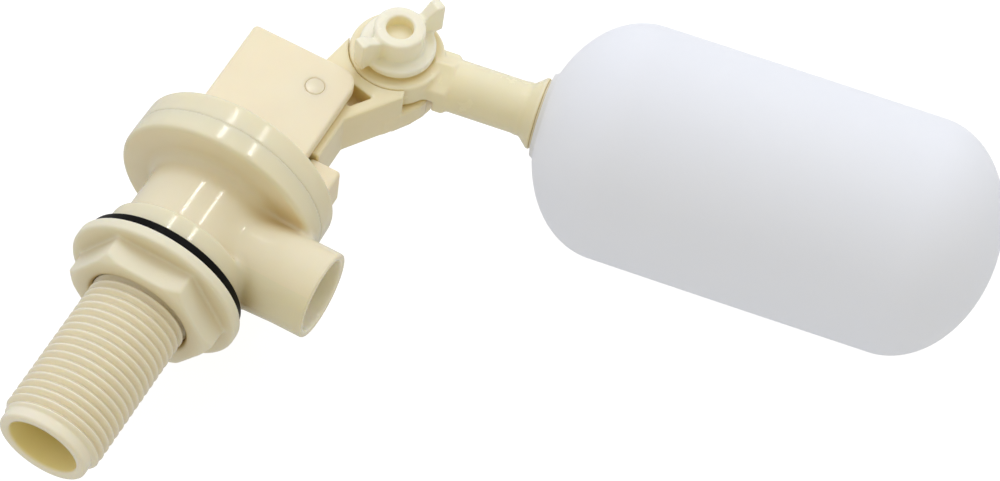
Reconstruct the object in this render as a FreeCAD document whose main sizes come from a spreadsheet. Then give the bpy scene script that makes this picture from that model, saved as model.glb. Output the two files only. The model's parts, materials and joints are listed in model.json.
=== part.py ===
import FreeCAD, Part
import math
import os
import Sketcher

# Side-mounted plastic float valve, 1/2 inch inlet. Millimetres, +Z up.
# Origin: centre of the body flange's sealing face, on the inlet axis.
# +X runs along the inlet axis from the threaded end towards the cover.
# The outlet points along -Z. The near side is -Y, the far side +Y.

SIZES = {
    # inlet stem and its thread
    "stem_end": 45.2, "spigot_length": 3.0, "spigot_radius": 9.48, "spigot_bevel": 0.5,
    "thread_radius": 10.4775, "thread_root": 9.3155, "thread_pitch": 1.814, "root_flat": 0.15,
    "inlet_bore": 7.3, "taper_shift": 0.5,
    # valve body
    "flange_radius": 15.3, "flange_length": 5.2, "barrel_radius": 13.6,
    "rim_radius": 21.8, "rim_start": 19.3, "part_line": 24.3,
    "cup_floor": 21.3, "cup_radius": 18.0, "chamber_radius": 11.2, "chamber_floor": 2.5,
    "nozzle_radius": 6.2, "nozzle_bore": 4.5, "seat_x": 17.0,
    "seat_lip_depth": 0.8, "seat_lip_length": 1.2,
    "outlet_x": 11.45, "outlet_radius": 9.2, "outlet_bore": 7.6, "outlet_end": 29.2,
    "root_radius": 9.45, "root_end": 22.2, "spout_top": 5.0, "outlet_bore_top": 7.0,
    # inlet strainer, placed by distances back from the origin
    "strainer_start": 8.0, "strainer_end": 4.0, "strainer_floor": 1.0, "strainer_wall": 0.8,
    "mesh_hole": 0.6,
    # gasket and lock nut
    "gasket_radius": 17.4, "gasket_length": 2.2, "slip_bore": 10.6,
    "nut_flange_radius": 18.5, "nut_flange_length": 2.6,
    "lock_flats": 28.2, "lock_hex_length": 5.8, "lock_bevel": 0.65,
    # cover
    "rim_end": 29.5, "rim_round": 0.8, "cover_plate": 27.2,
    "cover_spigot": 17.9, "cover_spigot_x": 22.6, "piston_bore": 14.0,
    "boss_radius": 5.0, "boss_end": 36.0, "guide_bore": 2.6,
    "pilot_seat_x": 30.6, "pilot_bore": 0.8, "bleed_offset": 0.9, "bleed_radius": 0.55,
    # fork ears, lug and pivot pin
    "ear_inner": 5.9, "ear_outer": 9.0, "ear_end": 56.4, "ear_plus_z": 12.3,
    "ear_minus_z": 12.5, "ear_round": 4.0,
    "lug_end": 36.3, "lug_z": 19.3, "lug_half": 4.8, "lug_gap": 0.3,
    "pin_x": 49.2, "pin_z": 5.7, "pin_radius": 2.0, "pin_hole": 2.06,
    # seals, piston and plunger
    "oring_radius": 16.9, "nozzle_ring_x": 12.0, "nozzle_ring_bore": 3.0,
    "pad_x": 19.2, "pad_radius": 5.8, "piston_x": 21.0, "piston_radius": 13.5,
    "seal_start": 25.0, "seal_end": 26.2, "seal_root": 12.4, "seal_gap": 0.07,
    "piston_bleed_y": 10.6, "piston_bleed": 0.35,
    "pilot_pad_x": 31.85, "pilot_pad_radius": 2.2, "plunger_x": 33.05, "guide_gap": 0.05,
    # lever and knuckle; depths along Y are measured from the mid plane
    "knuckle_x": 68.2, "knuckle_z": 14.75, "knuckle_radius": 10.0,
    "lever_half": 5.6, "far_face": 6.9, "split_far": 0.8, "split_near": 0.3,
    "nose_x": 40.5, "nose_radius": 1.4, "nose_half": 2.5,
    "disc_gap": 0.3, "disc_room_depth": 9.0, "side_pocket_depth": 4.0,
    "screw_radius": 2.1, "screw_hole": 2.16, "nut_flats": 8.0, "nut_face": 3.7,
    "washer_radius": 7.0, "washer_bore": 2.6, "washer_gap": 0.05,
    # wing screw, near side
    "shank_half": 6.5, "screw_flange": 8.0, "screw_boss": 5.4, "screw_top": 13.7,
    "flange_base": 6.45, "flange_top": 8.4, "wing_reach": 10.4, "wing_top": 15.2,
    "wing_thick": 2.6, "wing_angle": 27.0, "wing_gap": 0.6,
    "recess_radius": 2.8, "recess_depth": 3.0,
    # float arm, stations along its own axis from the knuckle
    "arm_angle": 80.74, "arm_half": 5.6, "arm_seat_radius": 7.0, "arm_seat_height": 0.8,
    "neck_start": 4.0, "neck_end": 9.6, "half_room_radius": 10.7,
    "tube_start": 10.7, "tube_radius": 5.65, "tube_bore": 3.9, "bore_start": 16.0,
    "collar_radius": 6.52, "collar_start": 8.4, "collar_end": 13.0,
    "bevel_foot": 10.9, "bevel_radius": 7.8, "bevel_run_out": 0.3,
    "cone_start": 29.3, "cone_end": 31.4, "cone_radius": 7.7, "arm_end": 31.95,
    "tip_radius": 4.9, "tip_end": 42.0, "tip_bevel": 0.5,
    # bush and float, on the arm's axis
    "bush_gap": 0.05, "bush_floor": 46.0, "bush_end": 48.0, "bush_radius": 6.6,
    "bush_flange_radius": 7.5, "bush_flange_end": 34.4,
    "float_start": 32.0, "float_length": 98.7, "float_radius": 25.3, "dome_depth": 19.0,
    "float_wall": 1.4, "neck_radius": 9.0, "well_radius": 8.4, "well_length": 15.0,
}
RIDGES = 22
CREST = (0.42, 0.58)  # start and end of a thread crest, in pitches
MESH_RINGS = ((2.2, 6), (4.6, 12))  # radius, number of holes
MESH_TURN = 0.25  # turn of each ring, in hole spacings
LOCK_NUT_TURN = 32.7  # degrees
LOCK_BEVEL_SLOPE = 1.2  # radius gained per mm of length
CORNER = 0.5 / math.cos(math.pi / 6)  # hexagon's corner radius over its width across flats
PAST = 1.0  # how far cutters run past a face, or pads sink into one
THROUGH = 20.0  # reach of cutters that pass through everything
DOME_STEPS = 24


class Dim:
    """A number together with the sheet expression it comes from."""

    def __init__(self, number, text):
        self.number = float(number)
        self.text = text

    def __add__(self, other):
        other = as_dim(other)
        return Dim(self.number + other.number, "(%s + %s)" % (self.text, other.text))

    def __sub__(self, other):
        other = as_dim(other)
        return Dim(self.number - other.number, "(%s - %s)" % (self.text, other.text))

    def __neg__(self):
        return Dim(-self.number, "(0 - %s)" % self.text)

    def __mul__(self, factor):
        factor = as_dim(factor)
        return Dim(self.number * factor.number, "(%s * %s)" % (self.text, factor.text))


def as_dim(value):
    if isinstance(value, Dim):
        return value
    return Dim(value, "%.6f" % value if value >= 0 else "(0 - %.6f)" % -value)


class SizeSet:
    """Holds one Dim per sheet alias, as an attribute."""


os.makedirs("parts", exist_ok=True)
doc = FreeCAD.newDocument("float_valve")
sheet = doc.addObject("Spreadsheet::Sheet", "Sizes")
size = SizeSet()
for row, (alias, number) in enumerate(SIZES.items(), start=1):
    sheet.set("A%d" % row, alias)
    sheet.set("B%d" % row, str(number))
    sheet.setAlias("B%d" % row, alias)
    setattr(size, alias, Dim(number, "Sizes." + alias))
doc.recompute()

Vector = FreeCAD.Vector
pieces = []
PIN = (size.pin_x, -size.pin_z)  # centres in the XZ plane
KNUCKLE = (size.knuckle_x, -size.knuckle_z)

# Measured outlines of the lever in the XZ plane: x, z
LEVER_BEAM = [
    (36.6, -13.85), (47.1, -13.85), (58.2, -21.45), (60.4, -20.9), KNUCKLE, (66.6, -4.85),
    (58.4, -3.3), (52.0, -1.6), (44.0, 3.2), (41.2, 2.4), (40.9, -2.0), (36.6, -5.6),
]
FAR_ROOT = [
    (57.6, -20.9), (61.2, -22.75), (64.6, -24.0), KNUCKLE, (60.4, -9.4), (57.6, -11.0),
]
SIDE_POCKET = [(50.8, -13.0), (55.0, -16.0), (56.2, -10.2), (54.0, -8.8), (52.2, -10.6)]


# ---------------------------------------------------------------- outlines
# An outline is a list of corners (x, y) of one polygon, or of circles (x, y, radius).
def rectangle(x_start, y_start, x_end, y_end):
    return [(x_start, y_start), (x_end, y_start), (x_end, y_end), (x_start, y_end)]


def hexagon(corner_radius, centre=(0.0, 0.0), turn=0.0):
    angles = [math.radians(60.0 * i + turn) for i in range(6)]
    return [(corner_radius * math.cos(angle) + centre[0],
             corner_radius * math.sin(angle) + centre[1]) for angle in angles]


# ---------------------------------------------------------------- sketches and features
def place_point(sketch, edge, end, x, y):
    """Ties a point to the sketch origin; a zero distance puts it on the axis instead."""
    for kind, value, axis in (("DistanceX", x, -2), ("DistanceY", y, -1)):
        if abs(value.number) < 1e-9:
            sketch.addConstraint(Sketcher.Constraint("PointOnObject", edge, end, axis))
        else:
            index = sketch.addConstraint(
                Sketcher.Constraint(kind, -1, 1, edge, end, value.number))
            sketch.setExpression("Constraints[%d]" % index, value.text)


def draw_circle(sketch, x, y, radius):
    centre = Vector(x.number, y.number, 0)
    edge = sketch.addGeometry(Part.Circle(centre, Vector(0, 0, 1), radius.number), False)
    index = sketch.addConstraint(Sketcher.Constraint("Radius", edge, radius.number))
    sketch.setExpression("Constraints[%d]" % index, radius.text)
    if abs(x.number) < 1e-9 and abs(y.number) < 1e-9:
        sketch.addConstraint(Sketcher.Constraint("Coincident", edge, 3, -1, 1))
    else:
        place_point(sketch, edge, 3, x, y)


def draw_polygon(sketch, corners):
    ends = [Vector(x.number, y.number, 0) for x, y in corners]
    edges = [sketch.addGeometry(Part.LineSegment(start, end), False)
             for start, end in zip(ends, ends[1:] + ends[:1])]
    for edge, following in zip(edges, edges[1:] + edges[:1]):
        sketch.addConstraint(Sketcher.Constraint("Coincident", edge, 2, following, 1))
    for edge, (x, y) in zip(edges, corners):
        place_point(sketch, edge, 1, x, y)


def new_body(label):
    body = doc.addObject("PartDesign::Body", label)
    body.Label = label
    pieces.append(body)
    return body


def new_sketch(body, name, plane, outline):
    sketch = body.newObject("Sketcher::SketchObject", name + "_profile")
    support = next(item for item in body.Origin.OriginFeatures if item.Role == plane)
    sketch.AttachmentSupport = [(support, "")]
    sketch.MapMode = "FlatFace"
    entries = [tuple(as_dim(value) for value in entry) for entry in outline]
    if len(entries[0]) == 3:
        for entry in entries:
            draw_circle(sketch, *entry)
    else:
        draw_polygon(sketch, entries)
    sketch.Visibility = False
    return sketch


def turn(body, name, outline, cut=False):
    """Outline (x, radius) in the XZ plane turned about X."""
    sketch = new_sketch(body, name, "XZ_Plane", outline)
    feature = body.newObject("PartDesign::Groove" if cut else "PartDesign::Revolution", name)
    feature.Profile = sketch
    feature.ReferenceAxis = (sketch, ["H_Axis"])
    feature.Angle = 360.0


def extrude(body, name, outline, start, end, plane="XZ_Plane", cut=False):
    """Outline padded or cut between two offsets from its plane.

    Offsets grow along +X from YZ and +Z from XY, but along -Y from XZ.
    """
    start = as_dim(start)
    length = as_dim(end) - start
    sketch = new_sketch(body, name, plane, outline)
    sketch.AttachmentOffset = FreeCAD.Placement(
        Vector(0, 0, start.number), FreeCAD.Rotation())
    sketch.setExpression("AttachmentOffset.Base.z", start.text)
    feature = body.newObject("PartDesign::Pocket" if cut else "PartDesign::Pad", name)
    feature.Profile = sketch
    feature.Length = length.number
    feature.setExpression("Length", length.text)
    feature.Reversed = cut  # a pocket runs against the sketch normal unless reversed


def fillet_edges(body, name, radius, pick):
    """Rounds the edges of the body's current shape for which pick(edge) is true."""
    doc.recompute()
    tip = body.Tip
    names = ["Edge%d" % i for i, edge in enumerate(tip.Shape.Edges, start=1) if pick(edge)]
    if not names:
        raise RuntimeError("no edge for " + name)
    feature = body.newObject("PartDesign::Fillet", name)
    feature.Base = (tip, names)
    feature.Radius = radius.number
    feature.setExpression("Radius", radius.text)
    doc.recompute()


def place_on_arm(piece):
    """Moves a piece drawn along its own +X onto the arm's axis, from the knuckle down."""
    piece.Placement = FreeCAD.Placement(
        Vector(size.knuckle_x.number, 0, -size.knuckle_z.number),
        FreeCAD.Rotation(Vector(0, 1, 0), size.arm_angle.number))
    piece.setExpression("Placement.Base.x", size.knuckle_x.text)
    piece.setExpression("Placement.Base.z", (-size.knuckle_z).text)
    piece.setExpression("Placement.Rotation.Angle", size.arm_angle.text)


# ---------------------------------------------------------------- valve body
def stem_outline():
    """Spigot and thread; the thread is a row of parallel ridges, not a helix."""
    spigot_end = -(size.stem_end - size.spigot_length)
    points = [
        (-size.stem_end, 0.0),
        (-size.stem_end, size.spigot_radius - size.spigot_bevel),
        (-size.stem_end + size.spigot_bevel, size.spigot_radius),
        (spigot_end, size.spigot_radius),
    ]
    for i in range(RIDGES):
        ridge = spigot_end + size.thread_pitch * i
        points += [
            (ridge + size.root_flat, size.thread_root),
            (ridge + size.thread_pitch * CREST[0], size.thread_radius),
            (ridge + size.thread_pitch * CREST[1], size.thread_radius),
            (ridge + size.thread_pitch, size.thread_root),
        ]
    return points


def build_valve_body():
    body = new_body("valve_body")
    turn(body, "body_outer", stem_outline() + [
        (0.0, size.thread_root), (0.0, size.flange_radius),
        (size.flange_length, size.flange_radius), (size.flange_length, size.barrel_radius),
        (size.rim_start, size.barrel_radius), (size.rim_start, size.rim_radius),
        (size.part_line, size.rim_radius), (size.part_line, 0.0)])
    extrude(body, "outlet_spout", [(size.outlet_x, 0.0, size.outlet_radius)],
            -size.outlet_end, -size.spout_top, plane="XY_Plane")
    extrude(body, "outlet_root", [(size.outlet_x, 0.0, size.root_radius)],
            -size.root_end, -size.spout_top, plane="XY_Plane")
    # cup and outlet chamber around the seat tube
    turn(body, "chamber", [
        (size.chamber_floor, size.nozzle_radius), (size.chamber_floor, size.chamber_radius),
        (size.cup_floor, size.chamber_radius), (size.cup_floor, size.cup_radius),
        (size.part_line, size.cup_radius), (size.part_line, 0.0), (size.seat_x, 0.0),
        (size.seat_x, size.nozzle_radius - size.seat_lip_depth),
        (size.seat_x - size.seat_lip_length, size.nozzle_radius)], cut=True)
    turn(body, "inlet_way", [
        (-size.stem_end, 0.0), (-size.stem_end, size.inlet_bore),
        (size.taper_shift, size.inlet_bore),
        (size.chamber_floor + size.taper_shift, size.nozzle_bore),
        (size.seat_x, size.nozzle_bore), (size.seat_x, 0.0)], cut=True)
    extrude(body, "outlet_way", [(size.outlet_x, 0.0, size.outlet_bore)],
            -size.outlet_end, -size.outlet_bore_top, plane="XY_Plane", cut=True)


def build_inlet_strainer():
    """Cup with a perforated floor, set in the inlet bore."""
    body = new_body("inlet_strainer")
    start = -size.strainer_start
    floor = start + size.strainer_floor
    inner = size.inlet_bore - size.strainer_wall
    turn(body, "strainer_disc", [
        (start, 0.0), (start, size.inlet_bore), (-size.strainer_end, size.inlet_bore),
        (-size.strainer_end, inner), (floor, inner), (floor, 0.0)])
    holes = [(0.0, 0.0, size.mesh_hole)]
    for radius, count in MESH_RINGS:
        for i in range(count):
            angle = 2 * math.pi * (i + MESH_TURN) / count
            holes.append((radius * math.cos(angle), radius * math.sin(angle), size.mesh_hole))
    extrude(body, "strainer_mesh", holes, start - PAST, floor + PAST,
            plane="YZ_Plane", cut=True)


# ---------------------------------------------------------------- gasket and lock nut
def build_sealing_gasket():
    body = new_body("sealing_gasket")
    turn(body, "gasket_ring",
         rectangle(-size.gasket_length, size.slip_bore, 0.0, size.gasket_radius))


def build_lock_nut():
    body = new_body("lock_nut")
    flange_end = -(size.gasket_length + size.nut_flange_length)
    hex_end = flange_end - size.lock_hex_length
    turn(body, "nut_flange", rectangle(
        flange_end, size.slip_bore, -size.gasket_length, size.nut_flange_radius))
    extrude(body, "nut_hex", hexagon(size.lock_flats * CORNER, turn=LOCK_NUT_TURN),
            hex_end, flange_end, plane="YZ_Plane")
    turn(body, "nut_bore", rectangle(hex_end - PAST, 0.0, 0.0, size.slip_bore), cut=True)
    # corner bevel on the hexagon's outer end
    bevel = size.lock_flats * 0.5 + size.lock_bevel
    top = bevel + 2.0 * LOCK_BEVEL_SLOPE
    turn(body, "nut_bevel", [
        (hex_end - 1.0, bevel - LOCK_BEVEL_SLOPE), (hex_end + 2.0, top),
        (hex_end - 1.0, top)], cut=True)


# ---------------------------------------------------------------- cover with fork and lug
def is_ear_corner(edge):
    """The edges along Y at the lower free corners of the ears."""
    return len(edge.Vertexes) == 2 and all(
        abs(vertex.X - size.ear_end.number) < 0.01
        and abs(vertex.Z + size.ear_minus_z.number) < 0.01 for vertex in edge.Vertexes)


def is_cover_rim(edge):
    curve = edge.Curve
    return (isinstance(curve, Part.Circle)
            and abs(curve.Center.x - size.rim_end.number) < 0.02
            and abs(curve.Radius - size.rim_radius.number) < 0.02)


def build_valve_cover():
    body = new_body("valve_cover")
    turn(body, "cover_disc", [
        (size.cover_spigot_x, size.piston_bore), (size.cover_spigot_x, size.cover_spigot),
        (size.part_line, size.cover_spigot), (size.part_line, size.rim_radius),
        (size.rim_end, size.rim_radius), (size.rim_end, size.boss_radius),
        (size.boss_end, size.boss_radius), (size.boss_end, size.guide_bore),
        (size.pilot_seat_x, size.guide_bore), (size.pilot_seat_x, size.pilot_bore),
        (size.cover_plate, size.pilot_bore), (size.cover_plate, size.piston_bore)])
    root = size.rim_end - PAST
    ear = rectangle(root, -size.ear_minus_z, size.ear_end, size.ear_plus_z)
    extrude(body, "ear_near", ear, size.ear_inner, size.ear_outer)
    extrude(body, "ear_far", ear, -size.ear_outer, -size.ear_inner)
    extrude(body, "lug", rectangle(root, -size.lug_z, size.lug_end,
                                   -size.ear_minus_z - size.lug_gap),
            -size.lug_half, size.lug_half)
    extrude(body, "pin_holes", [(*PIN, size.pin_radius)], -THROUGH, THROUGH, cut=True)
    # through the far wall of the pilot boss only
    extrude(body, "bleed_hole",
            [(size.pilot_seat_x + size.bleed_offset, 0.0, size.bleed_radius)],
            -8.0, 0.0, cut=True)
    fillet_edges(body, "ear_corners", size.ear_round, is_ear_corner)
    fillet_edges(body, "cover_rim", size.rim_round, is_cover_rim)


# ---------------------------------------------------------------- inside the body and cover
def build_cover_oring():
    body = new_body("cover_oring")
    turn(body, "oring_turn", [((size.cup_floor + size.cover_spigot_x) * 0.5,
                               size.oring_radius,
                               (size.cover_spigot_x - size.cup_floor) * 0.5)])


def build_turned_seals():
    """Rings and discs of rectangular section."""
    sections = (
        ("seat_nozzle", size.nozzle_ring_x, size.nozzle_ring_bore,
         size.seat_x, size.nozzle_bore),
        ("seat_pad", size.pad_x, 0.0, size.piston_x, size.pad_radius),
        ("piston_seal", size.seal_start, size.seal_root,
         size.seal_end, size.piston_bore - size.seal_gap),
        ("pilot_pad", size.pilot_pad_x, 0.0, size.plunger_x, size.pilot_pad_radius),
    )
    for label, x_start, inner, x_end, outer in sections:
        turn(new_body(label), label + "_turn", rectangle(x_start, inner, x_end, outer))


def build_main_piston():
    body = new_body("main_piston")
    turn(body, "piston_turn", [
        (size.piston_x, 0.0), (size.piston_x, 5.0), (23.6, 5.0), (23.6, size.piston_radius),
        (size.seal_start, size.piston_radius), (size.seal_start, size.seal_root),
        (size.seal_end, size.seal_root), (size.seal_end, size.piston_radius),
        (26.7, size.piston_radius), (26.7, 9.0), (25.6, 8.0), (25.6, 0.0)])
    extrude(body, "bleed_way", [(size.piston_bleed_y, 0.0, size.piston_bleed)],
            22.0, 27.0, plane="YZ_Plane", cut=True)


def build_pilot_plunger():
    body = new_body("pilot_plunger")
    radius = size.guide_bore - size.guide_gap
    turn(body, "plunger_turn", [
        (size.plunger_x, 0.0), (size.plunger_x, radius), (38.2, radius), (39.0, 1.9),
        (39.0, 0.0)])


# ---------------------------------------------------------------- pin, lever and knuckle
def build_pivot_pin():
    body = new_body("pivot_pin")
    extrude(body, "pin_rod", [(*PIN, size.pin_radius)], -size.ear_outer, size.ear_outer)


def build_lever():
    """Beam in the fork, with the far half of the knuckle at its end."""
    body = new_body("lever")
    extrude(body, "lever_beam", LEVER_BEAM, -size.lever_half, size.lever_half)
    extrude(body, "lever_boss", [(*KNUCKLE, size.knuckle_radius)],
            -size.far_face, -size.split_far)
    extrude(body, "far_root", FAR_ROOT, -size.far_face, -size.split_far)
    # a rounded nose rests just above the pilot plunger
    extrude(body, "lever_nose", [(size.nose_x, 0.0, size.nose_radius)],
            -size.nose_half, size.nose_half)
    # room for the arm's disc in the near half
    extrude(body, "disc_room", [(*KNUCKLE, size.knuckle_radius + size.disc_gap)],
            -size.split_far, size.disc_room_depth, cut=True)
    extrude(body, "pivot_hole", [(*PIN, size.pin_hole)], -THROUGH, THROUGH, cut=True)
    extrude(body, "screw_hole", [(*KNUCKLE, size.screw_hole)], -THROUGH, THROUGH, cut=True)
    extrude(body, "nut_pocket", hexagon(size.nut_flats * CORNER, KNUCKLE),
            -THROUGH, -size.nut_face, cut=True)
    extrude(body, "side_pocket", SIDE_POCKET,
            size.lever_half - size.side_pocket_depth, THROUGH, cut=True)


def build_knuckle_nut():
    """Captive nut in the far face of the knuckle."""
    body = new_body("knuckle_nut")
    extrude(body, "hex_nut", hexagon(size.nut_flats * CORNER, KNUCKLE),
            -size.far_face, -size.nut_face)
    extrude(body, "nut_thread_bore", [(*KNUCKLE, size.screw_hole)],
            -THROUGH, THROUGH, cut=True)


def build_friction_washer():
    """Washer between the two halves of the knuckle."""
    body = new_body("friction_washer")
    extrude(body, "washer_ring",
            [(*KNUCKLE, size.washer_radius), (*KNUCKLE, size.washer_bore)],
            -size.split_far, -(size.split_near + size.washer_gap))


def wing_outline():
    """One tilted bar across the screw makes both wings."""
    angle = math.radians(size.wing_angle.number)
    cosine, sine = math.cos(angle), math.sin(angle)
    half = size.wing_thick * 0.5
    return [(KNUCKLE[0] + size.wing_reach * (along * cosine) + half * (across * sine),
             KNUCKLE[1] - size.wing_reach * (along * sine) + half * (across * cosine))
            for along, across in ((1, 1), (1, -1), (-1, -1), (-1, 1))]


def build_wing_screw():
    body = new_body("wing_screw")
    extrude(body, "screw_shank", [(*KNUCKLE, size.screw_radius)],
            -size.shank_half, size.shank_half)
    extrude(body, "screw_flange", [(*KNUCKLE, size.screw_flange)],
            size.flange_base, size.flange_top)
    # boss and wings start a little inside the flange
    extrude(body, "screw_boss", [(*KNUCKLE, size.screw_boss)],
            size.flange_top - 0.5, size.screw_top)
    extrude(body, "screw_wings", wing_outline(), size.flange_top - 0.2, size.wing_top)
    # clear the bar above the boss, then sink the centre recess
    well_end = size.screw_top + 6.0
    extrude(body, "wing_well", [(*KNUCKLE, size.screw_boss + size.wing_gap)],
            size.screw_top, well_end, cut=True)
    extrude(body, "centre_recess", [(*KNUCKLE, size.recess_radius)],
            size.screw_top - size.recess_depth, well_end, cut=True)


# ---------------------------------------------------------------- float arm, bush and float
def build_float_arm():
    """Near half of the knuckle, wrench collar and tube, drawn along its own +X."""
    body = new_body("float_arm")
    extrude(body, "arm_disc", [(0.0, 0.0, size.knuckle_radius)],
            -size.split_near, size.arm_half)
    extrude(body, "arm_seat", [(0.0, 0.0, size.arm_seat_radius)],
            size.arm_half - 0.2, size.arm_half + size.arm_seat_height)
    extrude(body, "arm_neck", rectangle(size.neck_start, -size.tube_radius,
                                        size.neck_end, size.tube_radius),
            -size.split_near, size.arm_half)
    # six-sided wrench collar, flats flush with the tube
    extrude(body, "arm_collar", hexagon(size.collar_radius),
            size.collar_start, size.collar_end, plane="YZ_Plane")
    # clear of the lever's half of the knuckle
    extrude(body, "half_room", [(0.0, 0.0, size.half_room_radius)],
            -10.0, -size.split_near, cut=True)
    bevel_end = size.collar_end + size.bevel_run_out
    turn(body, "collar_bevel", [
        (bevel_end, size.tube_radius), (bevel_end, size.bevel_radius),
        (size.bevel_foot, size.bevel_radius)], cut=True)
    turn(body, "arm_tube", [
        (size.tube_start, 0.0), (size.tube_start, size.tube_radius),
        (size.cone_start, size.tube_radius), (size.cone_end, size.cone_radius),
        (size.arm_end, size.cone_radius), (size.arm_end, size.tip_radius),
        (size.tip_end - size.tip_bevel, size.tip_radius),
        (size.tip_end, size.tip_radius - size.tip_bevel), (size.tip_end, 0.0)])
    turn(body, "arm_bore",
         rectangle(size.bore_start, 0.0, size.tip_end, size.tube_bore), cut=True)
    extrude(body, "arm_screw_hole", [(0.0, 0.0, size.screw_hole)],
            -THROUGH, THROUGH, cut=True)
    place_on_arm(body)


def build_float_bush():
    """Blind bush around the arm's tip, set in the float's neck."""
    body = new_body("float_bush")
    face = size.arm_end + size.bush_gap
    turn(body, "bush_turn", [
        (face, size.tip_radius), (size.bush_floor, size.tip_radius), (size.bush_floor, 0.0),
        (size.bush_end, 0.0), (size.bush_end, size.bush_radius),
        (size.bush_flange_end, size.bush_radius),
        (size.bush_flange_end, size.bush_flange_radius), (face, size.bush_flange_radius)])
    place_on_arm(body)


def quarter_ellipse(centre, depth, radius, end_angle):
    """Spline from the widest point towards the axis; a negative depth bulges to -X."""
    points = []
    for i in range(DOME_STEPS + 1):
        angle = end_angle * i / DOME_STEPS
        points.append(Vector(centre + depth * math.sin(angle), 0, radius * math.cos(angle)))
    curve = Part.BSplineCurve()
    curve.interpolate(points)
    return curve.toShape(), points[0], points[-1]


def domed_solid(radius, depth, low, high):
    """Tube with elliptical domes turned about X, cut flat at the neck radius at the low end."""
    neck_angle = math.acos(size.neck_radius.number / radius)
    low_dome, low_wide, neck = quarter_ellipse(low + depth, -depth, radius, neck_angle)
    high_dome, high_wide, _ = quarter_ellipse(high - depth, depth, radius, math.pi / 2)
    axis_end = Vector(neck.x, 0, 0)
    edges = [low_dome, Part.makeLine(low_wide, high_wide), high_dome,
             Part.makeLine(neck, axis_end), Part.makeLine(axis_end, Vector(high, 0, 0))]
    face = Part.Face(Part.Wire(Part.__sortEdges__(edges)))
    return face.revolve(Vector(0, 0, 0), Vector(1, 0, 0), 360)


def cylinder(radius, start, end):
    return Part.makeCylinder(radius, end - start, Vector(start, 0, 0), Vector(1, 0, 0))


def build_float_shell():
    """Hollow float with a well at the neck that holds the bush."""
    start = size.float_start.number
    end = start + size.float_length.number
    radius = size.float_radius.number
    depth = size.dome_depth.number
    wall = size.float_wall.number
    outer = domed_solid(radius, depth, start, end)
    inner = domed_solid(radius - wall, depth - wall, start + wall, end - wall)
    well = cylinder(size.well_radius.number, start, start + size.well_length.number)
    flange_room = cylinder(size.bush_flange_radius.number, start - PAST,
                           size.bush_flange_end.number)
    bush_room = cylinder(size.bush_radius.number, 30.0, size.bush_end.number)
    shell = outer.cut(inner).fuse(well.common(outer))
    shell = shell.cut(flange_room).cut(bush_room).removeSplitter()
    piece = doc.addObject("Part::Feature", "float_shell")
    piece.Label = "float_shell"
    piece.Shape = shell
    place_on_arm(piece)
    pieces.append(piece)


# ---------------------------------------------------------------- build, check and export
for build in (
        build_valve_body, build_inlet_strainer, build_sealing_gasket, build_lock_nut,
        build_valve_cover, build_cover_oring, build_turned_seals, build_main_piston,
        build_pilot_plunger, build_pivot_pin, build_lever, build_knuckle_nut,
        build_friction_washer, build_wing_screw, build_float_arm, build_float_bush,
        build_float_shell):
    build()
doc.recompute()

problems = ["%s %s" % (item.Name, item.State) for item in doc.Objects
            if "Invalid" in item.State or "Error" in item.State]
for piece in pieces:
    if piece.Shape.isNull() or not piece.Shape.isValid() or not piece.Shape.Solids:
        problems.append("bad shape " + piece.Label)
if problems:
    raise RuntimeError("; ".join(problems))
for piece in pieces:
    piece.Shape.exportStep("parts/%s.step" % piece.Label)
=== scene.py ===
"""Float valve: threaded stem, body with spout, cover with fork, lever, arm, wing screw and float.

Shapes are in mm and the scene in metres. The valve's axis is X, from the threaded stem at -X to
the cover's fork at +X. The spout points to -Z and the pivot pin lies along Y. The wing screw sits
on the -Y side, towards the camera. The arm and float have their own frame, +X along the arm.
"""
import json
import math

import bmesh
import bpy
import numpy as np
from mathutils import Matrix, Vector


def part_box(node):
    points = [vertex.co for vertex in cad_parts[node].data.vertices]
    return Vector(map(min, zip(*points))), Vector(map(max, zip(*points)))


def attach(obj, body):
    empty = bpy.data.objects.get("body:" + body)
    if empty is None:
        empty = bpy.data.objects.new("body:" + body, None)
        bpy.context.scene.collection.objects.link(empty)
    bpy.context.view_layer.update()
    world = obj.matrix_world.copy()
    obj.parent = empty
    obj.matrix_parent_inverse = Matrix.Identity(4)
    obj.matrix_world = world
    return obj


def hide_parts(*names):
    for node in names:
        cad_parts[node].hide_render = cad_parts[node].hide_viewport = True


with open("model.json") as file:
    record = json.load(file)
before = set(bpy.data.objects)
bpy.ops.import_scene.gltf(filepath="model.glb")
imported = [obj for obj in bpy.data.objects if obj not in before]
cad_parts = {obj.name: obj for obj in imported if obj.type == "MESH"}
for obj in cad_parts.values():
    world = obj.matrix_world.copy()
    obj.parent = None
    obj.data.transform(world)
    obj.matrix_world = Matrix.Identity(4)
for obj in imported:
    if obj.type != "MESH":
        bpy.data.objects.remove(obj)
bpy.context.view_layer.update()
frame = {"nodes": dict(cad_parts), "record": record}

MM = 0.001
CELL = 0.36  # sampling step of the distance fields

# ------------------------------------------------------------------ shared places (mm)


def cad_box(node):
    low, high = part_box(node)
    return np.array(low) / MM, np.array(high) / MM


def cad_centre(node):
    """Centre of a CAD box in the XZ plane."""
    low, high = cad_box(node)
    x, _, z = (low + high) / 2
    return x, z


(STEM_END, _, _), (PART_X, RING_R, _) = cad_box("valve_body")
EAR_TOP = cad_box("valve_cover")[1][0]
NUT_END = cad_box("lock_nut")[0][0]
GASKET_START, GASKET_END = (corner[0] for corner in cad_box("sealing_gasket"))
PIN = cad_centre("pivot_pin")
KNUCKLE = cad_centre("friction_washer")
SPOUT_END, SPOUT_X = -29.2, 11.45
ARM_ANGLE = math.radians(80.74)
ARM_FRAME = (Matrix.Translation((KNUCKLE[0] * MM, 0, KNUCKLE[1] * MM))
             @ Matrix.Rotation(ARM_ANGLE, 4, "Y"))

# ------------------------------------------------------------------ signed distances


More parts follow.
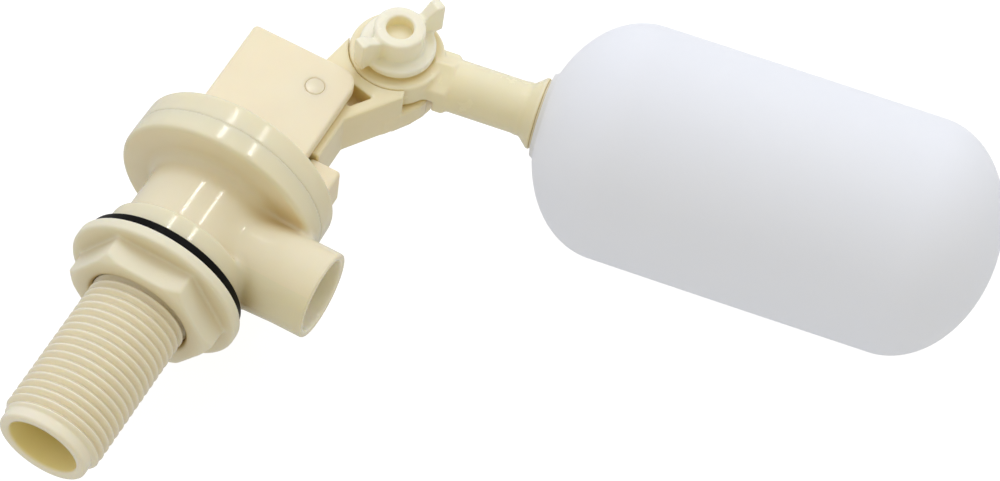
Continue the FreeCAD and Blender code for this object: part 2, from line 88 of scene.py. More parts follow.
def smin(a, b, blend):
    """Union with a fillet."""
    weight = np.maximum(blend - np.abs(a - b), 0) / blend
    return np.minimum(a, b) - weight * weight * blend * 0.25


def smax(a, b, blend):
    """Intersection with a softened edge."""
    return -smin(-a, -b, blend)


def cut(solid, tool):
    return np.maximum(solid, -tool)


def slab(along, start, end):
    return np.abs(along - (start + end) / 2) - (end - start) / 2


def extrude(outline, ends, edge):
    """Intersection of a 2D distance and a slab, with the rim rounded by edge."""
    side, ends = outline + edge, ends + edge
    outside = np.sqrt(np.maximum(side, 0) ** 2 + np.maximum(ends, 0) ** 2)
    return np.minimum(np.maximum(side, ends), 0) + outside - edge


def radial(u, v, centre=(0.0, 0.0)):
    return np.sqrt((u - centre[0]) ** 2 + (v - centre[1]) ** 2)


def cylinder(distance, along, radius, start, end, edge=None):
    """Round bar; distance is measured from its axis."""
    side, ends = distance - radius, slab(along, start, end)
    return np.maximum(side, ends) if edge is None else extrude(side, ends, edge)


def drill(solid, x, y, z, centre, radius):
    """Hole right through along Y."""
    return cut(solid, np.maximum(radial(x, z, centre) - radius, np.abs(y) - 12.0))


def hexagon(u, v, flat, turn, blend=None):
    """Six sides at distance flat from the centre, the first normal turned by degrees."""
    shape = None
    for i in range(6):
        angle = math.radians(60.0 * i + turn)
        side = u * math.cos(angle) + v * math.sin(angle) - flat
        if shape is None:
            shape = side
        else:
            shape = smax(shape, side, blend) if blend else np.maximum(shape, side)
    return shape


def polygon(u, v, points):
    """Signed distance to a closed polygon in the plane (u, v)."""
    nearest = inside = None
    for a, b in zip(points, points[1:] + points[:1]):
        edge = b - a
        from_u, from_v = u - a[0], v - a[1]
        t = np.clip((from_u * edge[0] + from_v * edge[1]) / (edge @ edge), 0, 1)
        squared = (from_u - edge[0] * t) ** 2 + (from_v - edge[1] * t) ** 2
        nearest = squared if nearest is None else np.minimum(nearest, squared)
        above = v >= a[1]
        below = v < b[1]
        left = edge[0] * from_v > edge[1] * from_u
        flip = (above & below & left) | (~above & ~below & ~left)
        inside = flip if inside is None else inside ^ flip
    distance = np.sqrt(nearest)
    return np.where(inside, -distance, distance)


def round_poly(u, v, points, radius):
    """Polygon with its convex corners rounded: inset by the radius, then grown back."""
    points = [np.array(p, dtype=float) for p in points]
    area = sum(a[0] * b[1] - a[1] * b[0] for a, b in zip(points, points[1:] + points[:1]))
    sign = 1.0 if area > 0 else -1.0
    inset = []
    for i, corner in enumerate(points):
        before, after = points[i - 1], points[(i + 1) % len(points)]
        edge_in = (corner - before) / np.linalg.norm(corner - before)
        edge_out = (after - corner) / np.linalg.norm(after - corner)
        miter = sign * np.array([-edge_in[1], edge_in[0]])
        miter = miter + sign * np.array([-edge_out[1], edge_out[0]])
        inset.append(corner + miter / (miter @ miter) * 2 * radius)
    return polygon(u, v, inset) - radius


# ------------------------------------------------------------------ meshing
CORNERS = np.array([[x, y, z] for x in (0, 1) for y in (0, 1) for z in (0, 1)])


def corner_values(field, cells):
    return np.stack([field[tuple((cells + c).T)] for c in CORNERS], 1)


def value_and_gradient(field, points):
    """Trilinear sample of the field, and its gradient per cell."""
    base = np.clip(np.floor(points).astype(int), 0, np.array(field.shape) - 2)
    fx, fy, fz = (points - base).T
    values = corner_values(field, base).reshape(-1, 2, 2, 2)
    at_x = values[:, 0] * (1 - fx)[:, None, None] + values[:, 1] * fx[:, None, None]
    at_xy = at_x[:, 0] * (1 - fy)[:, None] + at_x[:, 1] * fy[:, None]
    value = at_xy[:, 0] * (1 - fz) + at_xy[:, 1] * fz
    grad_z = at_xy[:, 1] - at_xy[:, 0]
    grad_y = (at_x[:, 1, 0] - at_x[:, 0, 0]) * (1 - fz) + (at_x[:, 1, 1] - at_x[:, 0, 1]) * fz
    slope = values[:, 1] - values[:, 0]
    slope = slope[:, 0] * (1 - fy)[:, None] + slope[:, 1] * fy[:, None]
    grad_x = slope[:, 0] * (1 - fz) + slope[:, 1] * fz
    return value, np.stack([grad_x, grad_y, grad_z], 1)


def surface_nets(field, axes):
    """Vertices (mm) and quads of the zero level of a sampled field."""
    field = np.asarray(field, dtype=np.float32)
    step = float(axes[0][1] - axes[0][0])
    origin = np.array([a[0] for a in axes])
    inside = field < 0
    nx, ny, nz = field.shape
    count = np.zeros((nx - 1, ny - 1, nz - 1), dtype=np.int8)
    for dx, dy, dz in CORNERS:
        count += inside[dx:nx - 1 + dx, dy:ny - 1 + dy, dz:nz - 1 + dz]
    active = (count > 0) & (count < 8)
    cells = np.argwhere(active)
    index = -np.ones(active.shape, dtype=np.int64)
    index[active] = np.arange(len(cells))

    # one vertex per cell, at the mean of its edge crossings
    values = corner_values(field, cells)
    total = np.zeros((len(cells), 3))
    crossings = np.zeros(len(cells))
    for a in range(8):
        for b in range(a + 1, 8):
            if np.abs(CORNERS[a] - CORNERS[b]).sum() != 1:
                continue
            va, vb = values[:, a], values[:, b]
            crossed = (va < 0) != (vb < 0)
            t = np.where(crossed, va / np.where(crossed, va - vb, 1), 0)
            point = CORNERS[a] + (CORNERS[b] - CORNERS[a]) * t[:, None]
            total += np.where(crossed[:, None], point, 0)
            crossings += crossed
    verts = cells + total / crossings[:, None]

    # move each vertex onto the zero level along the gradient
    for _ in range(3):
        value, gradient = value_and_gradient(field, verts)
        steep = np.maximum((gradient ** 2).sum(1), 1e-3 * step * step)
        verts = verts - np.clip((value / steep)[:, None] * gradient, -0.35, 0.35)

    # one quad round every grid edge that crosses the surface
    quads = []
    for axis in range(3):
        head = [slice(None)] * 3
        tail = [slice(None)] * 3
        head[axis] = slice(0, -1)
        tail[axis] = slice(1, None)
        edges = np.argwhere(inside[tuple(head)] != inside[tuple(tail)])
        p, q = (axis + 1) % 3, (axis + 2) % 3
        edges = edges[(edges[:, p] > 0) & (edges[:, q] > 0)
                      & (edges[:, p] < field.shape[p] - 1) & (edges[:, q] < field.shape[q] - 1)]
        sides = []
        for dp, dq in ((0, 0), (1, 0), (1, 1), (0, 1)):
            cell = edges.copy()
            cell[:, p] -= 1 - dp
            cell[:, q] -= 1 - dq
            sides.append(index[tuple(cell.T)])
        quad = np.stack(sides, 1)
        outward = inside[tuple(edges.T)]
        quad[~outward] = quad[~outward][:, ::-1]
        quads.append(quad)
    quads = np.concatenate(quads)
    return verts * step + origin, quads[(quads >= 0).all(1)]


def field_mesh(low, high, step, field):
    """Mesh of a distance field inside the box from low to high."""
    axes = [np.arange(a - 1.5 * step, b + 2.5 * step, step, dtype=np.float32)
            for a, b in zip(low, high)]
    x, y, z = np.meshgrid(*axes, indexing="ij", sparse=True)
    samples = np.broadcast_to(field(x, y, z), tuple(len(a) for a in axes))
    return surface_nets(samples, axes)


def add_ring(verts, x, radii):
    """Appends a ring round the X axis, one radius per spoke, and returns its indices."""
    start = len(verts)
    for i, radius in enumerate(radii):
        angle = 2 * math.pi * i / len(radii)
        verts.append((x, radius * math.cos(angle), radius * math.sin(angle)))
    return list(range(start, start + len(radii)))


def bridge(rows, closed):
    """Faces between successive rings; repeated indices at a pole leave triangles."""
    faces = []
    for k in range(len(rows) if closed else len(rows) - 1):
        a, b = rows[k], rows[(k + 1) % len(rows)]
        for i in range(len(a)):
            j = (i + 1) % len(a)
            face = list(dict.fromkeys([a[i], b[i], b[j], a[j]]))
            if len(face) > 2:
                faces.append(face)
    return faces


def lathe(profile, spokes):
    """Profile of (x, radius) points turned about X; it closes on itself or at poles on the axis."""
    verts, rows = [], []
    for x, radius in profile:
        if radius < 1e-6:
            rows.append([len(verts)] * spokes)
            verts.append((x, 0, 0))
        else:
            rows.append(add_ring(verts, x, [radius] * spokes))
    return verts, bridge(rows, closed=profile[0][1] > 1e-6 and profile[-1][1] > 1e-6)


def soften(profile, radius, steps=4):
    """Rounds the corners of a closed profile, except those on the axis."""
    points = [np.array(p, dtype=float) for p in profile]
    rounded = []
    for i, corner in enumerate(points):
        if corner[1] < 1e-6:
            rounded.append(tuple(corner))
            continue
        before, after = points[i - 1], points[(i + 1) % len(points)]
        len_in, len_out = np.linalg.norm(before - corner), np.linalg.norm(after - corner)
        trim = min(radius, len_in * 0.45, len_out * 0.45)
        start = corner + (before - corner) / len_in * trim
        end = corner + (after - corner) / len_out * trim
        for k in range(steps + 1):
            t = k / steps
            rounded.append(tuple((1 - t) ** 2 * start + 2 * t * (1 - t) * corner + t * t * end))
    return rounded


def join_parts(*parts):
    verts, faces = [], []
    for part_verts, part_faces in parts:
        base = len(verts)
        verts.extend(tuple(p) for p in part_verts)
        faces.extend([int(i) + base for i in face] for face in part_faces)
    return verts, faces


def fill_mesh(mesh, verts, faces, matrix):
    points = np.asarray(verts, dtype=np.float64) * MM
    if matrix is not None:
        matrix = np.array(matrix)
        points = points @ matrix[:3, :3].T + matrix[:3, 3]
    if isinstance(faces, np.ndarray):
        mesh.vertices.add(len(points))
        mesh.vertices.foreach_set("co", points.ravel())
        mesh.loops.add(faces.size)
        mesh.loops.foreach_set("vertex_index", faces.ravel().astype(np.int32))
        mesh.polygons.add(len(faces))
        starts = np.arange(0, faces.size, faces.shape[1], dtype=np.int32)
        mesh.polygons.foreach_set("loop_start", starts)
        mesh.update(calc_edges=True)
    else:
        mesh.from_pydata([tuple(p) for p in points], [], faces)
    mesh.validate()
    mesh.polygons.foreach_set("use_smooth", np.ones(len(mesh.polygons), dtype=bool))


def link(name, data):
    ob = bpy.data.objects.new(name, data)
    bpy.context.scene.collection.objects.link(ob)
    return ob


REPLACED = set()  # CAD nodes that have a detailed mesh


def add_part(name, shape, body, slot, node, matrix=None, outward=False, weld=False):
    """Adds a detailed mesh in place of a CAD node; outward recalculates the normals."""
    mesh = bpy.data.meshes.new(name)
    fill_mesh(mesh, *shape, matrix)
    ob = link(name, mesh)
    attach(ob, body)
    if outward:
        bm = bmesh.new()
        bm.from_mesh(mesh)
        if weld:
            bmesh.ops.remove_doubles(bm, verts=bm.verts, dist=1e-6)
        bmesh.ops.recalc_face_normals(bm, faces=bm.faces)
        bm.to_mesh(mesh)
        bm.free()
    paint(ob, slot)
    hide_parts(node)
    REPLACED.add(node)


# ------------------------------------------------------------------ shader building


class Shader:
    """Adds nodes to a tree. An input given as a socket is linked, any other value is set."""

    def __init__(self, tree):
        self.tree = tree

    def fill(self, node, inputs):
        for key, value in inputs.items():
            if isinstance(value, bpy.types.NodeSocket):
                self.tree.links.new(value, node.inputs[key])
            else:
                node.inputs[key].default_value = value

    def node(self, kind, inputs=None, **settings):
        made = self.tree.nodes.new("ShaderNode" + kind)
        for key, value in settings.items():
            setattr(made, key, value)
        self.fill(made, inputs or {})
        return made

    def noise(self, position, scale, detail=2.0):
        inputs = {"Scale": scale, "Detail": detail, "Vector": position}
        return self.node("TexNoise", inputs).outputs[0]

    def remap(self, value, source=(0.0, 1.0), target=(0.0, 1.0), **settings):
        inputs = {0: value, "From Min": source[0], "From Max": source[1],
                  "To Min": target[0], "To Max": target[1]}
        return self.node("MapRange", inputs, **settings).outputs[0]

    def mix(self, factor, a, b):
        """Colour mix; colours are RGB tuples or sockets."""
        a, b = ((*c, 1) if isinstance(c, tuple) else c for c in (a, b))
        return self.node("Mix", {0: factor, 6: a, 7: b}, data_type="RGBA").outputs[2]

    def math(self, operation, *values):
        return self.node("Math", dict(enumerate(values)), operation=operation).outputs[0]

    def vector(self, operation, *values, output="Vector"):
        made = self.node("VectorMath", dict(enumerate(values)), operation=operation)
        return made.outputs[output]


def new_material(name):
    material = bpy.data.materials.new(name)
    material.use_nodes = True
    return material, Shader(material.node_tree)


# ------------------------------------------------------------------ materials (lengths in metres)


def painted_reflection_mask(shader, axes, side, from_axis):
    """Where the painted grey reflection goes: the flange rim and the outer wall of the wide ring.
    """
    rim = shader.math("MULTIPLY", shader.math("GREATER_THAN", from_axis, 0.0141),
                      shader.math("LESS_THAN", axes.outputs["X"], 0.0056))
    wall = shader.remap(from_axis, source=(0.0205, 0.0213))
    return shader.math("MAXIMUM", rim, shader.math("MULTIPLY", wall, side))


def painted_light_stem_and_mouth(shader, position, axes, from_axis, colour, openness):
    """Painted light on the threads, stem bore and spout mouth, standing for light let through the
    thin wall: paler colours, a yellow bore, and little painted shade in creases.
    """
    stem = shader.math("LESS_THAN", axes.outputs["X"], 0.0)
    skin = shader.remap(from_axis, source=(0.00735, 0.00750))
    # painted light: the threads' pale colour stands for their highlights and for light let through
    # the wall, the bore's yellow for light let through the wall
    stem_painted_light = shader.mix(skin, (0.96, 0.84, 0.46), (0.965, 0.915, 0.785))  # bore, threads
    colour = shader.mix(stem, colour, stem_painted_light)
    # painted light: the spout mouth is painted paler for light let through its thin wall
    in_spout = shader.vector("MULTIPLY_ADD", position, (1, 1, 0), (-SPOUT_X * MM, 0, 0))
    from_spout = shader.vector("LENGTH", in_spout, output="Value")
    mouth = shader.math("MULTIPLY", shader.math("LESS_THAN", from_spout, 0.0080),
                        shader.math("LESS_THAN", axes.outputs["Z"], -0.0150))
    colour = shader.mix(mouth, colour, (0.985, 0.945, 0.80))
    # the painted shade is mostly lifted on the stem and the spout mouth
    lit = shader.math("MULTIPLY", shader.math("MAXIMUM", stem, mouth), 0.9)
    return colour, shader.math("MAXIMUM", lit, openness)


def moulded(name, dark, light, rough, rough_spread=0.06, grain=0.2, grain_scale=900.0,
            ripple=0.3, scatter=0.25, scatter_radius=(1.0, 0.72, 0.34), scatter_depth=0.005,
            specular=0.5, blotch=60.0, painted_crease_shade=None, painted_shade_reach=0.70, painted_reflection_x=None,
            painted_reflection_ends=(0.0, 1.0), body_painted_light=False, satin=0.0, glow=None):
    """Moulded plastic: blotchy colour, painted shade in creases, a faint flow ripple and a fine
    grain.

    grain and ripple are bump strengths; blotch and grain_scale are noise scales.
    painted_reflection_ends is the painted grey reflection's share below and above
    painted_reflection_x. satin is extra roughness off the painted reflection's side.
    """
    material, shader = new_material(name)
    shader.tree.nodes.clear()
    output = shader.node("OutputMaterial")
    surface = shader.node("BsdfPrincipled")
    shader.fill(output, {0: surface.outputs[0]})
    position = shader.node("TexCoord").outputs["Object"]

    blotches = shader.remap(shader.noise(position, blotch, 4), source=(0.3, 0.7))
    colour = shader.mix(blotches, dark, light)
    if painted_reflection_x is not None:
        axes = shader.node("SeparateXYZ", {0: position})
        side = shader.remap(axes.outputs["X"], (painted_reflection_x - 0.0005, painted_reflection_x + 0.0005), painted_reflection_ends)
        # painted reflection: a paler greyish colour standing for the grey surroundings reflected in
        # and seen through the thin ring wall
        painted_reflection_colour = shader.mix(blotches, (0.83, 0.78, 0.60), (0.88, 0.835, 0.66))
        mask = side
        if body_painted_light:
            across = shader.vector("MULTIPLY", position, (0, 1, 1))
            from_axis = shader.vector("LENGTH", across, output="Value")
            mask = painted_reflection_mask(shader, axes, side, from_axis)
        colour = shader.mix(mask, colour, painted_reflection_colour)
    if painted_crease_shade is not None:
        # painted shade: ambient occlusion darkens the colour in creases, corners and recesses
        occlusion = shader.node("AmbientOcclusion", {"Distance": 0.008}, samples=8)
        openness = shader.remap(occlusion.outputs["AO"], source=(0.0, painted_shade_reach))
        if body_painted_light:
            colour, openness = painted_light_stem_and_mouth(shader, position, axes, from_axis,
                                                   colour, openness)
        # lays the painted shade colour in where the surface is enclosed
        colour = shader.mix(openness, painted_crease_shade, colour)

    roughness = shader.remap(shader.noise(position, 140, 5),
                             target=(rough - rough_spread, rough + rough_spread))
    if satin:
        dull = shader.math("MULTIPLY_ADD", side, -satin, satin)
        roughness = shader.math("ADD", dull, roughness)

    fine = shader.node("Bump", {"Height": shader.noise(position, grain_scale, 3),
                                "Strength": grain, "Distance": 0.00005})
    flow = shader.node("Bump", {"Height": shader.noise(position, 85, 2), "Strength": ripple,
                                "Distance": 0.0002, "Normal": fine.outputs[0]})
    shader.fill(surface, {
        "Base Color": colour, "Roughness": roughness, "Normal": flow.outputs[0],
        "Subsurface Weight": scatter, "Subsurface Radius": scatter_radius,
        "Subsurface Scale": scatter_depth, "Coat Roughness": 0.15,
        "Specular IOR Level": specular})
    if glow is not None:
        # stands for light scattered through the thin translucent wall
        glow_colour, strength = glow
        shader.fill(surface, {"Emission Color": (*glow_colour, 1), "Emission Strength": strength})
    return material


def metal(name, base, rough):
    """Metal with a speckle in its colour and roughness."""
    material, shader = new_material(name)
    speckle = shader.noise(shader.node("TexCoord").outputs["Object"], 400)
    red, green, blue = base
    shader.fill(shader.tree.nodes["Principled BSDF"], {
        "Metallic": 1,
        "Base Color": shader.mix(speckle, (red * 0.75, green * 0.75, blue * 0.7), base),
        "Roughness": shader.remap(speckle, target=(rough * 0.7, rough * 1.4))})
    return material


# The darker, warmer colour each plastic below turns to in creases, corners and recesses is painted
# shade, laid in by ambient occlusion.
IVORY = dict(dark=(0.875, 0.795, 0.615), light=(0.915, 0.84, 0.67), painted_crease_shade=(0.56, 0.38, 0.07))
MATERIALS = {
    # the body gets the painted grey reflection on its flange rim and ring wall, and painted light
    # on its stem and spout mouth
    "body_plastic": moulded(
        "ivory_body", rough=0.15, rough_spread=0.04, painted_reflection_x=0.0188, body_painted_light=True,
        painted_shade_reach=0.80, **IVORY),
    # the cover gets the painted grey reflection on its ring, below 29.8 mm, but not on its ears
    "cover_plastic": moulded(
        "ivory_cover", rough=0.17, rough_spread=0.04, dark=(0.905, 0.81, 0.63),
        light=(0.945, 0.855, 0.675), painted_crease_shade=(0.78, 0.63, 0.30), painted_reflection_x=0.0298,
        painted_reflection_ends=(1.0, 0.0), satin=0.29),
    "nut_plastic": moulded(
        "pale_nut", rough=0.42, dark=(0.88, 0.845, 0.70), light=(0.93, 0.895, 0.765),
        painted_crease_shade=(0.52, 0.36, 0.10), painted_shade_reach=0.90, grain=0.7, grain_scale=1400, ripple=0.1),
    "lever_plastic": moulded(
        "ivory_lever", rough=0.24, dark=(0.87, 0.785, 0.55), light=(0.92, 0.84, 0.62),
        painted_crease_shade=(0.85, 0.68, 0.32)),
    "arm_plastic": moulded(
        "ivory_arm", rough=0.26, dark=(0.90, 0.825, 0.60), light=(0.945, 0.88, 0.67),
        painted_crease_shade=(0.78, 0.62, 0.26), painted_shade_reach=0.85),
    "screw_plastic": moulded(
        "pale_screw", rough=0.26, dark=(0.93, 0.90, 0.76), light=(0.96, 0.94, 0.83),
        painted_crease_shade=(0.93, 0.81, 0.48)),
    "pin_plastic": moulded(
        "ivory_pin", rough=0.20, dark=(0.89, 0.79, 0.595), light=(0.93, 0.835, 0.64),
        painted_crease_shade=(0.78, 0.63, 0.30)),
    "bush_plastic": moulded("ivory_bush", rough=0.35, **IVORY),
    "inner_plastic": moulded(
        "natural_inner", rough=0.4, dark=(0.84, 0.84, 0.80), light=(0.9, 0.9, 0.86)),
    "float_plastic": moulded(
        "frosted_float", rough=0.52, dark=(0.885, 0.90, 0.975), light=(0.92, 0.935, 0.995),
        scatter=0.6, scatter_radius=(1, 1, 1), scatter_depth=0.012, grain=0.3,
        grain_scale=1100, ripple=0.04, specular=0.35, blotch=25.0,
        glow=((0.70, 0.80, 1.0), 0.125)),
    "gasket_rubber": moulded(
        "black_gasket", rough=0.42, dark=(0.0015, 0.0015, 0.0018),
        light=(0.003, 0.003, 0.0034), scatter=0.0, grain=0.6, specular=0.12),
    "seal_rubber": moulded(
        "black_seal", rough=0.5, dark=(0.006, 0.006, 0.006), light=(0.012, 0.012, 0.012),
        scatter=0.0, grain=0.5, specular=0.3),
    "brass_insert": metal("turned_brass", base=(0.80, 0.60, 0.28), rough=0.28),
}


def paint(ob, slot):
    """Fills every material slot of the object, adding one if it has none."""
    slots = ob.data.materials
    if len(slots):
        for i in range(len(slots)):
            slots[i] = MATERIALS[slot]
    else:
        slots.append(MATERIALS[slot])


# Tuples below named for round features hold: radius, start, end and, where rounded, edge radius.

# ------------------------------------------------------------------ valve body
FLANGE = (15.3, 0.0, 5.2, 0.7)
BARREL = (13.6, 1.0, 20.5)
BODY_RING = (RING_R, 19.3, PART_X + 2.0, 1.0)
NECK = (9.25, -2.2, 1.0)
SPOUT = (9.2, SPOUT_END, -2.0, 0.45)
SPOUT_ROOT_R = 9.45
SPOUT_ROOT_Z = (-22.2, -2.0)
STEM_BORE_R = 7.3
STEM_BORE = (STEM_BORE_R, -4.0, 0.5)
TUBE_BORE = (4.5, 0.0, 18.0)
CHAMBER = (11.2, 2.5, 21.4)
CHAMBER_CORE_R = 6.2
CHAMBER_END = (11.2, 17.0, 21.4)
CUP = (18.0, 21.3, 26.0)
SPOUT_BORE = (7.6, SPOUT_END - 2, -7.0)


def body_field(x, y, z):
    rad = radial(y, z)
    solid = smin(cylinder(rad, x, *FLANGE), cylinder(rad, x, *BARREL), 0.9)
    ring = np.maximum(cylinder(rad, x, *BODY_RING), x - PART_X)
    solid = smin(solid, ring, 2.6)
    # the root runs down to the spout's radius in a gentle taper
    spout_rad = radial(x, y, (SPOUT_X, 0.0))
    taper = 0.25 * np.clip((-17.2 - z) / 5.0, 0.0, 1.0)
    root = extrude(spout_rad - SPOUT_ROOT_R + taper, slab(z, *SPOUT_ROOT_Z), 0.2)
    solid = smin(solid, smin(cylinder(spout_rad, z, *SPOUT), root, 0.1), 2.0)
    solid = np.minimum(solid, cylinder(rad, x, *NECK))
    # the chamber is a ring round a core, then opens over its full width
    solid = cut(solid, np.maximum(cylinder(rad, x, *CHAMBER), CHAMBER_CORE_R - rad))
    for bore in (STEM_BORE, TUBE_BORE, CHAMBER_END, CUP):
        solid = cut(solid, cylinder(rad, x, *bore))
    return smax(solid, -cylinder(spout_rad, z, *SPOUT_BORE), 0.7)


THREAD_PITCH, THREAD_CREST, THREAD_ROOT = 1.814, 10.4775, 9.3155
THREAD_FOOT = STEM_END + 3.0
STEM_R = 9.48  # plain end
LIP_LENGTH, LIP_DROP = 0.6, 0.55
STEM_SPOKES = 144
STATIONS_PER_PITCH = 12
# inside of the stem, from its root back to the end: x, radius
STEM_INSIDE = [(-0.9, STEM_BORE_R), (STEM_END + 0.9, STEM_BORE_R), (STEM_END + 0.3, 7.45),
               (STEM_END + 0.05, 7.75)]


def lip_radius(x):
    """Rounded lip at the stem's end."""
    t = (x - STEM_END) / LIP_LENGTH
    return STEM_R - LIP_DROP * (1 - math.sqrt(1 - (1 - t) ** 2))


def thread_radius(x, turn):
    """Helical thread of rounded V form that fades in from the plain end; turn is 0 to 1."""
    phase = ((x - THREAD_FOOT) / THREAD_PITCH - turn) % 1.0
    form = min(1.0, max(0.0, (1 - abs(2 * phase - 1) - 0.16) / 0.66))
    form = form * form * (3 - 2 * form) * 0.35 + form * 0.65
    fade = min(1.0, max(0.0, (x - THREAD_FOOT + 0.9) / 1.7))
    full = THREAD_ROOT + (THREAD_CREST - THREAD_ROOT) * form
    return STEM_R + (full - STEM_R) * fade


def thread_stem():
    verts = []
    rows = [add_ring(verts, x, [lip_radius(x)] * STEM_SPOKES)
            for x in (STEM_END, STEM_END + 0.10, STEM_END + 0.35, STEM_END + LIP_LENGTH)]
    for x in np.arange(THREAD_FOOT - 1.9, -0.9, THREAD_PITCH / STATIONS_PER_PITCH):
        radii = [thread_radius(x, i / STEM_SPOKES) for i in range(STEM_SPOKES)]
        rows.append(add_ring(verts, x, radii))
    rows += [add_ring(verts, x, [radius] * STEM_SPOKES) for x, radius in STEM_INSIDE]
    return verts, bridge(rows, closed=True)


shape = field_mesh((-2.4, -RING_R, SPOUT_END), (PART_X, RING_R, RING_R), CELL, body_field)
add_part("body_moulding", join_parts(shape, thread_stem()), "valve", "body_plastic",
         "valve_body", outward=True)

# ------------------------------------------------------------------ cover, fork and lug
COVER_FACE = PART_X + 0.02
SEAM_OUTSET = 0.10  # the seam ring lies this far inside the ring's radius
SPIGOT = (17.9, 22.6, 26.0)
COVER_RECESS = (14.0, 20.0, 27.2)
COVER_BOSS = (5.0, 27.5, 36.0, 0.4)
BOSS_BORE = (2.6, 30.6, 40.0)
EAR_CORNER_R = 4.0
EAR_LOW_Z = -12.5
EAR_Y, EAR_HALF = 7.45, 1.55
# outlines: x, z
EAR_OUTLINE = [(27.0, EAR_LOW_Z), (EAR_TOP, EAR_LOW_Z), (EAR_TOP, 12.3), (27.0, 12.3)]
LUG_OUTLINE = [(27.0, -19.3), (36.3, -19.3), (36.3, -12.4), (27.0, -12.4)]


def cover_field(x, y, z):
    rad = radial(y, z)
    draft = np.clip(x - PART_X, 0, 6) * 0.02
    ring = extrude(rad - RING_R + 0.04 + draft, slab(x, COVER_FACE - 3.0, 29.5), 0.7)
    ring = np.maximum(ring, COVER_FACE - x)
    seam = np.maximum(np.maximum(rad - RING_R + SEAM_OUTSET, 17.0 - rad),
                      slab(x, PART_X - 0.3, PART_X + 1.0))
    solid = np.minimum(np.minimum(ring, seam), cylinder(rad, x, *SPIGOT))
    solid = cut(solid, cylinder(rad, x, *COVER_RECESS))

    corner_x, corner_z = EAR_TOP - EAR_CORNER_R, EAR_LOW_Z + EAR_CORNER_R
    ears = np.where((x > corner_x) & (z < corner_z),
                    radial(x, z, (corner_x, corner_z)) - EAR_CORNER_R,
                    round_poly(x, z, EAR_OUTLINE, 0.9))
    ears = extrude(ears, np.abs(np.abs(y) - EAR_Y) - EAR_HALF, 0.45)
    lug = extrude(round_poly(x, z, LUG_OUTLINE, 0.7), np.abs(y) - 4.8, 0.7)
    upper = smin(smin(ears, lug, 0.8), cylinder(rad, x, *COVER_BOSS), 0.8)
    solid = smin(solid, np.maximum(upper, 27.6 - x), 1.1)
    solid = cut(solid, cylinder(rad, x, *BOSS_BORE))
    return drill(solid, x, y, z, PIN, 1.98)


shape = field_mesh((22.6, -RING_R, -RING_R), (EAR_TOP, RING_R, RING_R), CELL, cover_field)
add_part("cover_moulding", shape, "valve", "cover_plastic", "valve_cover")

# ------------------------------------------------------------------ pivot pin
PIN_HALF, PIN_R = 9.0, 2.0
PIN_PROFILE = [(-PIN_HALF, 0.0), (-PIN_HALF, PIN_R), (PIN_HALF, PIN_R), (PIN_HALF, 0.0)]
verts, faces = lathe(soften(PIN_PROFILE, 0.25), 64)
verts = [(PIN[0] + y, x, PIN[1] + z) for x, y, z in verts]  # turned from X to Y
add_part("fork_pin", (verts, faces), "valve", "pin_plastic", "pivot_pin", outward=True)

# ------------------------------------------------------------------ gasket
GASKET_BORE_R, GASKET_R = 10.6, 17.4
GASKET_PROFILE = [(GASKET_START, GASKET_BORE_R), (GASKET_START, GASKET_R),
                  (GASKET_END, GASKET_R), (GASKET_END, GASKET_BORE_R)]
add_part("gasket_ring", lathe(soften(GASKET_PROFILE, 0.5, 5), 160), "gasket", "gasket_rubber",
         "sealing_gasket", outward=True)

# ------------------------------------------------------------------ lock nut
NUT_FACE = -2.2
NUT_FLANGE_R = 18.5
NUT_FLANGE = (NUT_FLANGE_R, -4.8, NUT_FACE, 0.55)
NUT_BORE = (10.62, -20.0, 5.0)
NUT_FLAT = 14.1  # centre to flat


def nut_field(x, y, z):
    rad = radial(y, z)
    from_end = x - NUT_END
    head = extrude(hexagon(y, z, NUT_FLAT, 2.7, blend=0.45), slab(x, NUT_END, -3.0), 0.35)
    head = smax(head, (rad - 14.75 - from_end * 1.2) * 0.64, 0.3)  # chamfered corners
    solid = smin(cylinder(rad, x, *NUT_FLANGE), head, 0.7)
    solid = cut(solid, cylinder(rad, x, *NUT_BORE))
    lead_in = (rad - 11.2 + from_end * 0.9) * 0.74
    return cut(solid, np.maximum(lead_in, NUT_END - 1 - x))


shape = field_mesh((NUT_END, -NUT_FLANGE_R, -NUT_FLANGE_R),
                   (NUT_FACE, NUT_FLANGE_R, NUT_FLANGE_R), CELL * 0.9, nut_field)
add_part("nut_moulding", shape, "nut", "nut_plastic", "lock_nut")

# ------------------------------------------------------------------ lever
KNUCKLE_R = 10.0
KNUCKLE_BORE_R = 2.2
KNUCKLE_ROOM_R = 10.13
LEVER_SPLIT_Y = 0.8  # the knuckle fills the +Y side of this plane
LEVER_HALF = 5.6
LEVER_FACE_Y = 6.9
# outlines: x, z
BEAM_OUTLINE = [
    (36.6, -13.85), (47.1, -13.85), (58.3, -21.55), (60.3, -20.9), (68.2, -14.75), (66.8, -4.75),
    (58.4, -3.3), (52.0, -1.6), (44.0, 3.2), (41.2, 2.4), (40.9, -2.0), (36.6, -5.6)]
WEB_OUTLINE = [(57.4, -20.4), (61.1, -22.75), (64.6, -24.1), (68.2, -14.75), (60.4, -9.4),
               (57.4, -11.0)]
ROOT_OUTLINE = [(55.0, -19.28), (60.4, -22.95), (62.4, -24.0), (64.6, -24.4), (68.2, -14.75),
                (55.0, -12.0)]
POCKET_OUTLINE = [(50.7, -13.0), (55.0, -16.05), (56.2, -10.1), (54.0, -8.6), (52.0, -10.4)]


